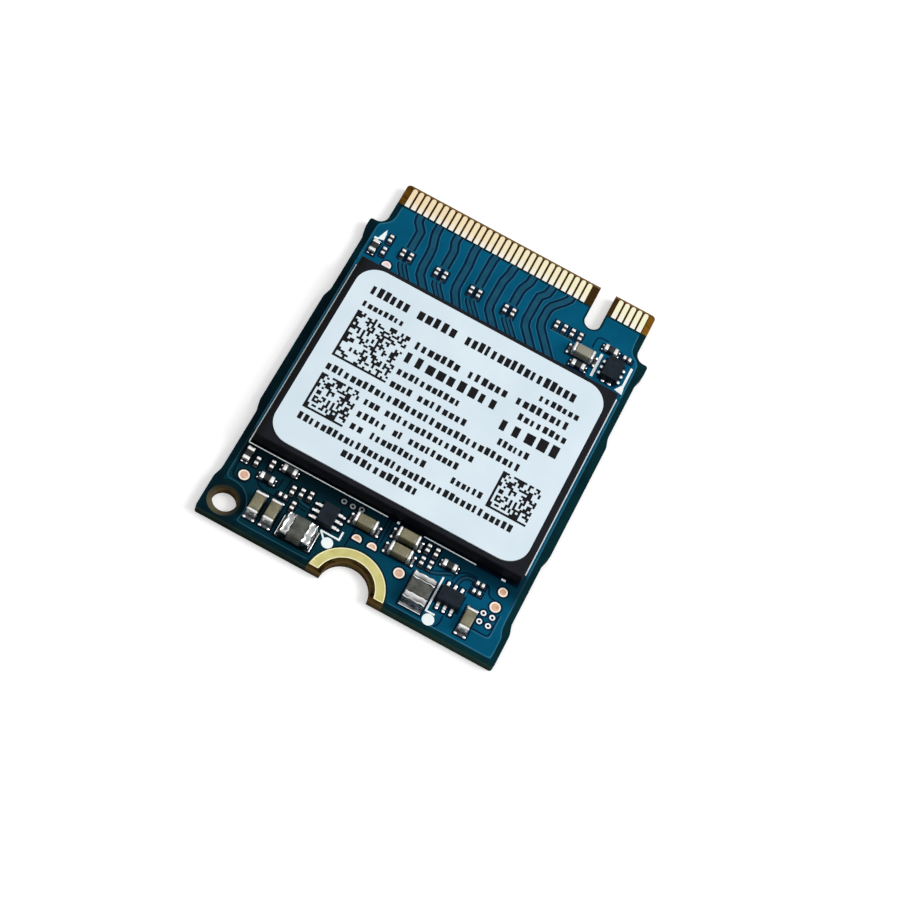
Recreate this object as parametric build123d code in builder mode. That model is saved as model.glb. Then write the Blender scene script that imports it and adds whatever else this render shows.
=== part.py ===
from build123d import *
import os

os.makedirs("parts", exist_ok=True)

# A short solid state drive card, in millimetres. It lies component side up:
# +X points to the side with the key slot, +Y to the contacts, and Z is 0 at the underside.

# Edge contacts and the key
contact_pitch = 0.5             # between neighbours on one face
contact_width = 0.35
contact_thickness = 0.04
contact_setback = 0.15          # tip of a contact to the end of the tongue
contact_zone = 1.8              # bare laminate around the contacts, back from the tongue's end
position_count = 75             # contact positions, odd on the top face and even on the bottom
key_first = 59                  # positions that the key takes away
key_last = 66
key_width = 1.2
key_depth = 3.5

# Laminate card
board_thickness = 0.8
tongue_length = 4.0
tongue_margin = 0.675           # outermost contact's centre to the side of the tongue
tongue_tip_radius = 0.3
shoulder_width = 1.075          # step from the tongue out to the side of the card
shoulder_radius = 0.7
card_corner_radius = 0.2
recess_length = 6.5             # shallow stretches where the card was broken out of its panel
recess_depth = 0.2
recess_ramp = 0.7
recess_radius = 1.2
recess_from_screw_end = 2.6
recess_from_shoulder = 0.9

# Screw notch, tooling hole and bare metal on the card
notch_radius = 1.75
screw_pad_inner = 2.05
screw_pad_outer = 2.75
screw_pad_setback = 0.25        # ends of the half ring, in from the screw end
tooling_radius = 0.85
tooling_from_side = 1.46
tooling_from_end = 1.4
bare_pad_thickness = 0.03
probe_radius = 0.38
small_probe_radius = 0.33
half_probe_radius = 0.34
half_probe_flat = 0.13          # flat side of a cut-off disc, below its centre
via_ring_radius = 0.2
via_hole_radius = 0.1

# Memory package on its solder balls, and its label
package_width = 20.0
package_length = 16.0
package_height = 1.05
package_corner_radius = 0.1
package_chamfer = 0.05
package_front_gap = 0.45        # clear of the nearest power part
package_back_gap = 0.86         # clear of the nearest part by the contacts
ball_height = 0.25
ball_radius = 0.2
ball_neck_radius = 0.15
ball_pitch = 1.0
ball_margin = 1.0               # outermost ball's centre to the side of the package
ball_rows = 2                   # rows of balls round the outside
ball_block = 5                  # balls along each side of the block in the middle
label_side_margin = 0.475       # bare strips of the package beside the label
label_end_margin = 0.375
label_thickness = 0.1
label_corner_radius = 1.65

# Chips: a body between two metal ends that stand a little proud of it
large_length = 1.6
large_width = 0.8
large_height = 0.8
large_end = 0.24
large_toe = 0.28                # solder pad beyond the end of a chip
medium_length = 1.0
medium_width = 0.5
medium_height = 0.38
medium_end = 0.28
medium_toe = 0.14
small_length = 0.6
small_width = 0.3
small_height = 0.3
small_end = 0.22
small_toe = 0.1
end_proud = 0.02                # the ends stand this far proud of the body
large_edge_radius = 0.07
medium_edge_radius = 0.04
solder_pad_thickness = 0.04

# Power inductors
core_length = 2.05
core_width = 1.64
core_height = 1.0
core_end = 0.5
core_edge_radius = 0.06
core_toe = 0.25

# Six-lead converters
converter_length = 1.6
converter_width = 1.2
converter_height = 0.55
converter_skirt = 0.2           # straight lower part of the body, above it the sides lean in
converter_draft = 8             # degrees
leads_per_side = 3
lead_pitch = 0.5
lead_width = 0.2
lead_reach = 0.3
lead_thickness = 0.12
lead_toe = 0.2

# Leadless power switch
switch_width = 1.22
switch_length = 1.65
switch_height = 0.7
switch_pad_height = 0.06
switch_pad_pitch = 0.5
switch_pad_width = 0.22
switch_pad_length = 0.3
switch_pad_reach = 0.12         # pad beyond the side of the body
switch_pads_along = 3           # on each long side
switch_pads_across = 2          # on each short side

# Places of the power parts: x from the middle of the card, distance in from the screw end, turn
large_power_spots = [
    (-7.60, 2.00, 90), (-6.45, 2.00, 90), (-0.78, 4.57, 0),
    (2.13, 5.10, 0), (2.13, 3.90, 0), (8.07, 1.88, 90),
]
medium_power_spots = [
    (-6.83, 5.40, 0), (5.40, 4.87, 0), (-9.75, 5.05, 90), (-7.88, 4.12, 0),
]
small_power_spots = [
    (-9.00, 4.90, 90), (-8.02, 5.20, 90), (-6.00, 4.25, 90), (-5.40, 4.40, 90),
    (-4.80, 4.50, 90), (-6.40, 3.55, 0), (-5.50, 3.25, 90), (3.62, 5.26, 90),
    (4.24, 5.26, 90), (3.65, 4.23, 90), (4.25, 4.23, 90), (7.75, 4.72, 0), (7.75, 4.10, 0),
]
inductor_spots = [(-4.37, 1.69, 0), (4.37, 2.03, 90)]
converter_spots = [(-3.20, 3.80, 90), (6.40, 2.80, 0)]
probe_spots = [(-9.30, 3.63), (2.70, 2.72), (9.30, 3.87)]
small_probe_spot = (9.30, 5.10)
half_probe_spots = [(-0.80, 3.42), (0.32, 3.42)]
via_spots = [
    (-2.73, 5.42), (-2.07, 5.40), (-1.45, 5.50),
    (8.80, 3.10), (9.45, 3.10), (8.80, 2.43), (9.45, 2.43),
]

# Places of the parts by the contacts: x from the middle, distance back from the tongue's end, turn
large_contact_spots = [(6.54, 5.80, 0)]
medium_contact_spots = [(6.62, 6.75, 0), (8.18, 4.38, 0), (-9.75, 6.10, 90)]
small_contact_spots = [(-9.00, 4.93, 90), (-9.00, 6.08, 90), (9.45, 4.40, 0)]
switch_spot = (8.88, 5.88, 0)
back_probe_spot = (-8.35, 6.91)
row_start = 4.0                 # row of small chips beside the key
row_pitch = 0.615
row_count = 4
row_place = 4.62
pair_start = -7.47              # pairs of coupling capacitors on the contacts' lines
pair_pitch = 2.7
pair_spread = 0.6
pair_count = 4
pair_place = 5.48

# The card's length follows from its rows of parts, its width from its contacts
power_zone = max(spot[1] for spot in medium_power_spots) + medium_width / 2 + package_front_gap
contact_end_zone = back_probe_spot[1] + half_probe_flat + package_back_gap
board_length = power_zone + package_length + contact_end_zone
tongue_width = (position_count - 1) * contact_pitch / 2 + 2 * tongue_margin
board_width = tongue_width + 2 * shoulder_width
screw_end = -board_length / 2
tip = board_length / 2
shoulder = tip - tongue_length
package_middle = screw_end + power_zone + package_length / 2
package_bottom = board_thickness + ball_height
package_top = package_bottom + package_height
label_width = package_width - 2 * label_side_margin
label_length = package_length - 2 * label_end_margin
seat = board_thickness + solder_pad_thickness
top_face = Plane.XY.offset(board_thickness)


def from_screw_end(spots):
    return [(x, screw_end + place, *turn) for x, place, *turn in spots]


def from_tip(spots):
    return [(x, tip - place, *turn) for x, place, *turn in spots]


def turned(spots):
    return [Location((x, y, 0), (0, 0, turn)) for x, y, turn in spots]


def position_x(position):
    return (position - (position_count + 1) / 2) * contact_pitch / 2


def save(part, name):
    part.label = name
    export_step(part, f"parts/{name}.step")


# Circuit board: laminate with its contact zones cut back and the screw pads let in
def screw_ring(plane):
    with BuildSketch(plane) as ring:
        with Locations((0, screw_end)):
            Circle(screw_pad_outer)
            Circle(screw_pad_inner, mode=Mode.SUBTRACT)
        with Locations((0, screw_end + screw_pad_setback)):
            below = 2 * screw_pad_outer
            Rectangle(below, below, align=(Align.CENTER, Align.MAX), mode=Mode.SUBTRACT)
    return ring.sketch


def recess_points(side, start):
    edge = side * board_width / 2
    floor = edge - side * recess_depth
    end = start + recess_length
    return [(edge, start), (floor, start + recess_ramp), (floor, end - recess_ramp), (edge, end)]


screw_ring_top = screw_ring(top_face)
screw_ring_bottom = screw_ring(Plane.XY)
key_x = (position_x(key_first) + position_x(key_last)) / 2
recess_starts = [screw_end + recess_from_screw_end, shoulder - recess_from_shoulder - recess_length]

with BuildPart() as circuit_board:
    with BuildSketch() as outline:
        with Locations((0, screw_end)):
            Rectangle(board_width, board_length - tongue_length, align=(Align.CENTER, Align.MIN))
        with Locations((0, tip)):
            Rectangle(tongue_width, 2 * tongue_length, align=(Align.CENTER, Align.MAX))
        fillet(outline.vertices().group_by(Axis.Y)[-1], tongue_tip_radius)
        step = outline.vertices().filter_by(lambda v: abs(v.Y - shoulder) < card_corner_radius)
        fillet(step.sort_by(Axis.X)[1:-1], shoulder_radius)
        fillet(outline.vertices().group_by(Axis.X)[0], card_corner_radius)
        fillet(outline.vertices().group_by(Axis.X)[-1], card_corner_radius)
        for start in recess_starts:
            for side in (-1, 1):
                with BuildLine():
                    Polyline(*recess_points(side, start), close=True)
                make_face(mode=Mode.SUBTRACT)
            middle = start + recess_length / 2
            reach = (recess_length + recess_depth) / 2
            bends = outline.vertices().filter_by_position(Axis.Y, middle - reach, middle + reach)
            fillet(bends, recess_radius)
        with Locations((key_x, tip)):
            Rectangle(key_width, 2 * key_depth - key_width, mode=Mode.SUBTRACT)
        with Locations((key_x, tip - key_depth + key_width / 2)):
            Circle(key_width / 2, mode=Mode.SUBTRACT)
        with Locations((0, screw_end)):
            Circle(notch_radius, mode=Mode.SUBTRACT)
        with Locations((tooling_from_side - board_width / 2, screw_end + tooling_from_end)):
            Circle(tooling_radius, mode=Mode.SUBTRACT)
    extrude(amount=board_thickness)
    for face, depth in ((top_face, -contact_thickness), (Plane.XY, contact_thickness)):
        with BuildSketch(face):
            with Locations((0, tip)):
                Rectangle(tongue_width, contact_zone, align=(Align.CENTER, Align.MAX))
        extrude(amount=depth, mode=Mode.SUBTRACT)
    extrude(screw_ring_top, amount=-contact_thickness, mode=Mode.SUBTRACT)
    extrude(screw_ring_bottom, amount=contact_thickness, mode=Mode.SUBTRACT)
save(circuit_board.part, "circuit_board")


# Contact fingers: round-tipped strips, flush with the card's faces
def contact_row(plane, thickness, first):
    positions = range(first, position_count + 1, 2)
    kept = [position_x(p) for p in positions if not key_first <= p <= key_last]
    strip = contact_zone - contact_setback - contact_width / 2
    with BuildPart() as row:
        with BuildSketch(plane):
            with Locations(*[(x, tip - contact_zone) for x in kept]):
                Rectangle(contact_width, strip, align=(Align.CENTER, Align.MIN))
            with Locations(*[(x, tip - contact_zone + strip) for x in kept]):
                Circle(contact_width / 2)
        extrude(amount=thickness)
    return row.part


save(contact_row(top_face, -contact_thickness, 1), "contact_fingers_top")
save(contact_row(Plane.XY, contact_thickness, 2), "contact_fingers_bottom")

# Screw pads: half rings round the notch on both faces
with BuildPart() as screw_pad_top:
    extrude(screw_ring_top, amount=-contact_thickness)
save(screw_pad_top.part, "screw_pad_top")

with BuildPart() as screw_pad_bottom:
    extrude(screw_ring_bottom, amount=contact_thickness)
save(screw_pad_bottom.part, "screw_pad_bottom")

# Probe pads: bare discs, and cut-off discs by the screw notch and behind the package
with BuildPart() as probe_pads:
    with BuildSketch(top_face):
        with Locations(*from_screw_end(probe_spots)):
            Circle(probe_radius)
        with Locations(*from_screw_end([small_probe_spot])):
            Circle(small_probe_radius)
        with Locations(*from_screw_end(half_probe_spots), *from_tip([back_probe_spot])):
            Circle(half_probe_radius)
            below = 2 * half_probe_radius
            with Locations((0, -half_probe_flat)):
                Rectangle(below, below, align=(Align.CENTER, Align.MAX), mode=Mode.SUBTRACT)
    extrude(amount=bare_pad_thickness)
save(probe_pads.part, "probe_pads")

# Via rings: the bare collars of open vias
with BuildPart() as via_rings:
    with BuildSketch(top_face):
        with Locations(*from_screw_end(via_spots)):
            Circle(via_ring_radius)
            Circle(via_hole_radius, mode=Mode.SUBTRACT)
    extrude(amount=bare_pad_thickness)
save(via_rings.part, "via_rings")


# Memory package: one moulded block, carried by its solder balls
with BuildPart() as memory_package:
    with BuildSketch(Plane.XY.offset(package_bottom)):
        with Locations((0, package_middle)):
            RectangleRounded(package_width, package_length, package_corner_radius)
    extrude(amount=package_height)
    chamfer(memory_package.faces().sort_by(Axis.Z)[-1].edges(), package_chamfer)
save(memory_package.part, "memory_package")


def ball_spots():
    across = int((package_width - 2 * ball_margin) / ball_pitch)
    along = int((package_length - 2 * ball_margin) / ball_pitch)
    spots = []
    for i in range(across + 1):
        for j in range(along + 1):
            x = (i - across / 2) * ball_pitch
            y = (j - along / 2) * ball_pitch
            outside = min(i, across - i, j, along - j) < ball_rows
            middle = max(abs(x), abs(y)) <= ball_block * ball_pitch / 2
            if outside or middle:
                spots.append((x, package_middle + y, board_thickness))
    return spots


with BuildPart() as solder_balls:
    with BuildSketch(Plane.XZ) as ball:
        with BuildLine():
            side = ThreePointArc(
                (ball_neck_radius, 0), (ball_radius, ball_height / 2), (ball_neck_radius, ball_height))
            Polyline(side @ 1, (0, ball_height), (0, 0), side @ 0)
        make_face()
    one_ball = revolve(axis=Axis.Z, mode=Mode.PRIVATE)
    with Locations(*ball_spots()):
        add(one_ball)
save(solder_balls.part, "solder_balls")

# Label: a thin sheet with round corners, stuck on the package
with BuildPart() as label:
    with BuildSketch(Plane.XY.offset(package_top)):
        with Locations((0, package_middle)):
            RectangleRounded(label_width, label_length, label_corner_radius)
    extrude(amount=label_thickness)
save(label.part, "label")


# Chips: the ends are blocks with rounded edges, the body sits between them
def chip_ends(spots, length, width, height, end, edge_radius=0):
    with BuildPart() as ends:
        with BuildSketch(Plane.XY.offset(seat)):
            with Locations(*turned(spots)):
                with GridLocations(length - end, 0, 2, 1):
                    Rectangle(end, width)
        extrude(amount=height)
        if edge_radius:
            fillet(ends.edges().filter_by(lambda e: e.center().Z > seat), edge_radius)
    return ends.part


def chip_bodies(spots, length, width, height, end):
    with BuildPart() as bodies:
        with BuildSketch(Plane.XY.offset(seat + end_proud)):
            with Locations(*turned(spots)):
                Rectangle(length - 2 * end, width - 2 * end_proud)
        extrude(amount=height - 2 * end_proud)
    return bodies.part


large_spots = from_screw_end(large_power_spots) + from_tip(large_contact_spots)
medium_spots = from_screw_end(medium_power_spots) + from_tip(medium_contact_spots)
row_spots = [(row_start + i * row_pitch, row_place, 90) for i in range(row_count)]
pair_spots = [
    (pair_start + i * pair_pitch + side * pair_spread / 2, pair_place, 90)
    for i in range(pair_count) for side in (-1, 1)
]
small_groups = {
    "coupling_capacitor": from_tip(pair_spots),
    "contact_side_chip": from_tip(small_contact_spots + row_spots),
    "power_side_chip": from_screw_end(small_power_spots),
}

for number, spot in enumerate(large_spots, 1):
    ends = chip_ends([spot], large_length, large_width, large_height, large_end, large_edge_radius)
    save(ends, f"large_capacitor_{number}_ends")
    save(chip_bodies([spot], large_length, large_width, large_height, large_end),
         f"large_capacitor_{number}_body")

for number, spot in enumerate(medium_spots, 1):
    ends = chip_ends([spot], medium_length, medium_width, medium_height, medium_end, medium_edge_radius)
    save(ends, f"medium_chip_{number}_ends")
    save(chip_bodies([spot], medium_length, medium_width, medium_height, medium_end),
         f"medium_chip_{number}_body")

for name, spots in small_groups.items():
    save(chip_ends(spots, small_length, small_width, small_height, small_end), f"{name}_ends")
    save(chip_bodies(spots, small_length, small_width, small_height, small_end), f"{name}_bodies")

# Power inductors: a pressed core with a wrapped terminal at each end
for number, spot in enumerate(from_screw_end(inductor_spots), 1):
    terminals = chip_ends([spot], core_length, core_width, core_height, core_end, core_edge_radius)
    save(terminals, f"inductor_{number}_terminals")
    save(chip_bodies([spot], core_length, core_width, core_height, core_end), f"inductor_{number}_core")


# Converters: a moulded body with flat leads along two sides
def lead_grid():
    span = converter_width + lead_reach
    return GridLocations(lead_pitch, span, leads_per_side, 2)


for number, spot in enumerate(from_screw_end(converter_spots), 1):
    with BuildPart() as converter_body:
        with BuildSketch(Plane.XY.offset(seat)):
            with Locations(*turned([spot])):
                Rectangle(converter_length, converter_width)
        extrude(amount=converter_skirt)
        with BuildSketch(Plane.XY.offset(seat + converter_skirt)):
            with Locations(*turned([spot])):
                Rectangle(converter_length, converter_width)
        extrude(amount=converter_height - converter_skirt, taper=converter_draft)
    save(converter_body.part, f"converter_{number}_body")

    with BuildPart() as converter_leads:
        with BuildSketch(Plane.XY.offset(seat)):
            with Locations(*turned([spot])):
                with lead_grid():
                    Rectangle(lead_width, lead_reach)
        extrude(amount=lead_thickness)
    save(converter_leads.part, f"converter_{number}_leads")


# Power switch: a leadless body on pads that show along its four sides
def switch_pad_grids():
    along = switch_width - switch_pad_length + 2 * switch_pad_reach
    across = switch_length - switch_pad_length + 2 * switch_pad_reach
    with GridLocations(along, switch_pad_pitch, 2, switch_pads_along):
        Rectangle(switch_pad_length, switch_pad_width)
    with GridLocations(switch_pad_pitch, across, switch_pads_across, 2):
        Rectangle(switch_pad_width, switch_pad_length)


switch_place = from_tip([switch_spot])

with BuildPart() as power_switch_pads:
    with BuildSketch(Plane.XY.offset(seat)):
        with Locations(*turned(switch_place)):
            switch_pad_grids()
    extrude(amount=switch_pad_height)
save(power_switch_pads.part, "power_switch_pads")

with BuildPart() as power_switch_body:
    with BuildSketch(Plane.XY.offset(seat + switch_pad_height)):
        with Locations(*turned(switch_place)):
            Rectangle(switch_width, switch_length)
    extrude(amount=switch_height - switch_pad_height)
save(power_switch_body.part, "power_switch_body")


# Solder pads: bare metal on the card under every chip end and lead
def chip_pads(spots, length, width, end, toe):
    with Locations(*turned(spots)):
        with GridLocations(length - end + toe, 0, 2, 1):
            Rectangle(end + toe, width)


with BuildPart() as solder_pads:
    with BuildSketch(top_face):
        chip_pads(large_spots, large_length, large_width, large_end, large_toe)
        chip_pads(medium_spots, medium_length, medium_width, medium_end, medium_toe)
        for spots in small_groups.values():
            chip_pads(spots, small_length, small_width, small_end, small_toe)
        chip_pads(from_screw_end(inductor_spots), core_length, core_width, core_end, core_toe)
        with Locations(*turned(from_screw_end(converter_spots))):
            with GridLocations(lead_pitch, converter_width + lead_reach + lead_toe, leads_per_side, 2):
                Rectangle(lead_width, lead_reach + lead_toe)
        with Locations(*turned(switch_place)):
            switch_pad_grids()
    extrude(amount=solder_pad_thickness)
save(solder_pads.part, "solder_pads")
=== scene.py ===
import math
import bpy
from mathutils import Matrix, Quaternion, Vector


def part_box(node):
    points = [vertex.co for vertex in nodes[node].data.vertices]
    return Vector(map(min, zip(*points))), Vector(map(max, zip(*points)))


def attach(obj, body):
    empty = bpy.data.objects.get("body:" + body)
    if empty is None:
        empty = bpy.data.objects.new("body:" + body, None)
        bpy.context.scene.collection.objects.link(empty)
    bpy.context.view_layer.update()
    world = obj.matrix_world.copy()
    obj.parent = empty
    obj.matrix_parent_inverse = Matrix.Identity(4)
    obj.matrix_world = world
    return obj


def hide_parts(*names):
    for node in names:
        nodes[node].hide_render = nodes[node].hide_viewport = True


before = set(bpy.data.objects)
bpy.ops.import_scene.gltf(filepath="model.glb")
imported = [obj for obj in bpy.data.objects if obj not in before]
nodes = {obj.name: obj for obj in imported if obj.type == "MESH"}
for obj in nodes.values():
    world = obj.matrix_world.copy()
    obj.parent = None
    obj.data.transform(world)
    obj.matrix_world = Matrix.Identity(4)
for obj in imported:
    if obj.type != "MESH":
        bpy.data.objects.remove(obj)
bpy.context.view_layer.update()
print("frame loaded:", len(nodes), "nodes")

mm = 0.001  # new pieces are modelled in millimetres and shrunk to metres when they are finished
weldGap = 0.0005  # points closer than this, in millimetres, are one point
curveSteps = 5  # points on each stretch of a smooth route
roundAngle = 60  # round pieces are shaded smooth where faces meet at less than this


def boxOf(nodeName):  # low and high corners in millimetres
    return [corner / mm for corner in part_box(nodeName)]


cardLow, cardHigh = boxOf("circuit_board")
labelLow, labelHigh = boxOf("label")
cardTop = cardHigh.z
screwEnd = cardLow.y
tip = cardHigh.y
maskLine = boxOf("contact_fingers_top")[0].y  # where the solder mask stops short of the contacts


# modelling helpers

def fromScrewEnd(points):
    return [(x, screwEnd + y) for x, y in points]


def pickNone():
    bpy.ops.object.select_all(action="DESELECT")


def pickOnly(piece):
    pickNone()
    piece.select_set(True)
    bpy.context.view_layer.objects.active = piece


def startEdit(piece):  # edit mode with everything selected
    pickOnly(piece)
    bpy.ops.object.mode_set(mode="EDIT")
    bpy.ops.mesh.select_all(action="SELECT")


def endEdit():
    bpy.ops.object.mode_set(mode="OBJECT")


def dropSelection(piece):
    startEdit(piece)
    bpy.ops.mesh.select_all(action="DESELECT")
    endEdit()


def settle(name):  # place and size go into the mesh
    bpy.ops.object.transform_apply(location=True, rotation=True, scale=True)
    bpy.context.object.name = name
    return bpy.context.object


def addObject(name, data):
    added = bpy.data.objects.new(name, data)
    bpy.context.scene.collection.objects.link(added)
    return added


def copyOf(piece):  # with a mesh of its own
    return addObject(piece.name, piece.data.copy())


def addBlock(name, low, high):
    pickNone()
    middle = [(a + b) / 2 for a, b in zip(low, high)]
    size = [b - a for a, b in zip(low, high)]
    bpy.ops.mesh.primitive_cube_add(size=1, location=middle, scale=size)
    return settle(name)


def addBar(name, corners, low, high):  # block between two corners that are given from the screw end
    (x0, y0), (x1, y1) = fromScrewEnd(corners)
    return addBlock(name, (x0, y0, low), (x1, y1, high))


def addDisc(name, x, y, radius, low, high, sides):
    pickNone()
    bpy.ops.mesh.primitive_cylinder_add(
        vertices=sides, radius=radius, depth=high - low, location=(x, y, (low + high) / 2))
    return settle(name)


def addDrop(name, low, high):  # small block smoothed into a drop of solder
    drop = addBlock(name, low, high)
    swell = drop.modifiers.new("swell", "SUBSURF")
    swell.levels = 2
    swell.render_levels = 2
    applyModifiers(drop)
    return drop


def drawCurve(name, points, low, high, closed, smooth):
    shape = bpy.data.curves.new(name, "CURVE")
    shape.dimensions = "2D"
    shape.fill_mode = "BOTH"
    shape.extrude = (high - low) / 2
    shape.resolution_u = curveSteps
    line = shape.splines.new("NURBS" if smooth else "POLY")
    line.points.add(len(points) - 1)
    for point, (x, y) in zip(line.points, points):
        point.co = (x, y, 0, 1)
    line.use_cyclic_u = closed
    if smooth:
        line.order_u = 3
        line.use_endpoint_u = True
    piece = addObject(name, shape)
    piece.location.z = (low + high) / 2
    pickOnly(piece)
    bpy.ops.object.convert(target="MESH")
    startEdit(settle(name))
    bpy.ops.mesh.remove_doubles(threshold=weldGap)
    bpy.ops.mesh.normals_make_consistent(inside=False)
    endEdit()
    return bpy.context.object


def drawSheet(name, outline, low, high):  # filled outline with a thickness
    return drawCurve(name, outline, low, high, closed=True, smooth=False)


def partIntoCells(piece, step):  # so that no face of a large sheet gets too many corners
    startEdit(piece)
    for axis, low, high in ((0, cardLow.x, cardHigh.x), (1, cardLow.y, cardHigh.y)):
        normal = [axis == i for i in range(3)]
        for i in range(1, math.ceil((high - low) / step)):
            place = [(low + i * step) * n for n in normal]
            bpy.ops.mesh.select_all(action="SELECT")
            bpy.ops.mesh.bisect(plane_co=place, plane_no=normal)
    endEdit()
    return piece


def applyModifiers(piece):
    pickOnly(piece)
    for modifier in list(piece.modifiers):
        bpy.ops.object.modifier_apply(modifier=modifier.name)


def weldDoubles(piece):  # takes out the hairline faces that a cut or a bevel leaves
    startEdit(piece)
    bpy.ops.mesh.remove_doubles(threshold=weldGap)
    bpy.ops.mesh.dissolve_degenerate(threshold=weldGap)
    endEdit()


def layTrack(name, route, width, low, high, smooth=False):  # strip of even width along a route
    piece = drawCurve(name, route, low, high, closed=False, smooth=smooth)
    spread = piece.modifiers.new("spread", "SOLIDIFY")
    spread.thickness = width
    spread.offset = 0
    spread.use_even_offset = True
    applyModifiers(piece)
    startEdit(piece)
    bpy.ops.mesh.normals_make_consistent(inside=False)
    endEdit()
    return piece


def joinPieces(name, pieces):
    pickNone()
    for piece in pieces:
        piece.select_set(True)
    bpy.context.view_layer.objects.active = pieces[0]
    if len(pieces) > 1:
        bpy.ops.object.join()
    bpy.context.object.name = name
    return bpy.context.object


def cutAway(piece, cutters):
    cutter = joinPieces("cutter", cutters)
    cut = piece.modifiers.new("cut", "BOOLEAN")
    cut.operation = "DIFFERENCE"
    cut.solver = "EXACT"
    cut.use_self = True
    cut.object = cutter
    applyModifiers(piece)
    weldDoubles(piece)
    bpy.data.objects.remove(cutter)
    return piece


def roundEdges(piece, width, segments=2, fromAngle=40):
    soften = piece.modifiers.new("soften", "BEVEL")
    soften.width = width
    soften.segments = segments
    soften.limit_method = "ANGLE"
    soften.angle_limit = math.radians(fromAngle)
    applyModifiers(piece)
    weldDoubles(piece)
    return piece


def finishPiece(piece, finish, smoothAngle=20):
    piece.scale = (mm, mm, mm)
    pickOnly(piece)
    settle(piece.name)
    bpy.ops.object.shade_smooth_by_angle(angle=math.radians(smoothAngle))
    piece.data.materials.clear()
    piece.data.materials.append(finish)
    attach(piece, "root")
    print("finished", piece.name, len(piece.data.polygons), "faces")
    return piece


def islandBoxes(nodeName):  # box of each separate solid in a node, in millimetres
    mesh = nodes[nodeName].data
    home = {}
    owner = []
    for vertex in mesh.vertices:
        key = tuple(round(c / mm, 3) for c in vertex.co)
        owner.append(home.setdefault(key, len(home)))
    root = list(range(len(home)))

    def rootOf(i):
        while root[i] != i:
            root[i] = root[root[i]]
            i = root[i]
        return i

    for polygon in mesh.polygons:
        first = rootOf(owner[polygon.vertices[0]])
        for index in polygon.vertices[1:]:
            root[rootOf(owner[index])] = first
    boxes = {}
    for key, i in home.items():
        low, high = boxes.setdefault(rootOf(i), ([math.inf] * 3, [-math.inf] * 3))
        for axis in range(3):
            low[axis] = min(low[axis], key[axis])
            high[axis] = max(high[axis], key[axis])
    return [(Vector(low), Vector(high)) for low, high in boxes.values()]


def shiftedRoute(route, shift):  # the same route moved sideways, to the right of its run
    moved = []
    for i, (x, y) in enumerate(route):
        before = Vector(route[max(i - 1, 0)])
        after = Vector(route[min(i + 1, len(route) - 1)])
        here = Vector((x, y))
        runs = [run.normalized() for run in (here - before, after - here) if run.length > 0]
        run = sum(runs, Vector((0, 0))).normalized()
        side = Vector((run.y, -run.x))
        reach = shift / max(side.dot(Vector((runs[0].y, -runs[0].x))), 0.5)  # up to twice as far at a bend
        moved.append(tuple(here + side * reach))
    return moved


# finishes: node helpers first, then one function for each kind of surface

def startFinish(name):
    finish = bpy.data.materials.new(name)
    finish.use_nodes = True
    tree = finish.node_tree
    place = tree.nodes.new("ShaderNodeTexCoord")
    grow = tree.nodes.new("ShaderNodeMapping")  # object coordinates in millimetres
    grow.inputs["Scale"].default_value = (1 / mm, 1 / mm, 1 / mm)
    tree.links.new(place.outputs["Object"], grow.inputs["Vector"])
    return finish, tree, tree.nodes["Principled BSDF"], grow.outputs["Vector"]


speckle = (0.3, 0.7)  # the share of a noise's range that a speckled surface uses


def setSockets(node, values):
    for name, value in values.items():
        node.inputs[name].default_value = value


def noiseOf(tree, where, scale, detail=3, stretch=(1, 1, 1)):
    turn = tree.nodes.new("ShaderNodeMapping")
    turn.inputs["Scale"].default_value = stretch
    tree.links.new(where, turn.inputs["Vector"])
    noise = tree.nodes.new("ShaderNodeTexNoise")
    setSockets(noise, {"Scale": scale, "Detail": detail})
    tree.links.new(turn.outputs["Vector"], noise.inputs["Vector"])
    return noise.outputs["Fac"]


def ranged(tree, value, fromLow, fromHigh, toLow, toHigh):
    fit = tree.nodes.new("ShaderNodeMapRange")
    setSockets(fit, {"From Min": fromLow, "From Max": fromHigh, "To Min": toLow, "To Max": toHigh})
    tree.links.new(value, fit.inputs["Value"])
    return fit.outputs["Result"]


def mathOf(tree, operation, first, second):
    step = tree.nodes.new("ShaderNodeMath")
    step.operation = operation
    for socket, value in zip(step.inputs, (first, second)):
        if isinstance(value, (int, float)):
            socket.default_value = value
        else:
            tree.links.new(value, socket)
    return step.outputs["Value"]


def mixColours(tree, factor, first, second):
    blend = tree.nodes.new("ShaderNodeMix")
    blend.data_type = "RGBA"
    tree.links.new(factor, blend.inputs["Factor"])
    for socket, value in ((blend.inputs["A"], first), (blend.inputs["B"], second)):
        if isinstance(value, tuple):
            socket.default_value = (*value, 1)
        else:
            tree.links.new(value, socket)
    return blend.outputs["Result"]


def addBump(tree, shader, height, strength, distance):
    bump = tree.nodes.new("ShaderNodeBump")
    setSockets(bump, {"Strength": strength, "Distance": distance * mm})
    tree.links.new(height, bump.inputs["Height"])
    tree.links.new(bump.outputs["Normal"], shader.inputs["Normal"])


def axisOf(tree, where, axis):
    split = tree.nodes.new("ShaderNodeSeparateXYZ")
    tree.links.new(where, split.inputs["Vector"])
    return split.outputs[axis]


# painted shade: the pour among the power parts is darkened, most on the left and beside the package
powerZone = dict(  # x from the middle, y from the screw end
    dimTo=-3, fullFrom=8.6, shadeStart=4.1, shadeEnd=5.3, shade=0.28, zoneEnd=6.5, restStart=7.5)


# paints shade into the colour by place on the card
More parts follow.
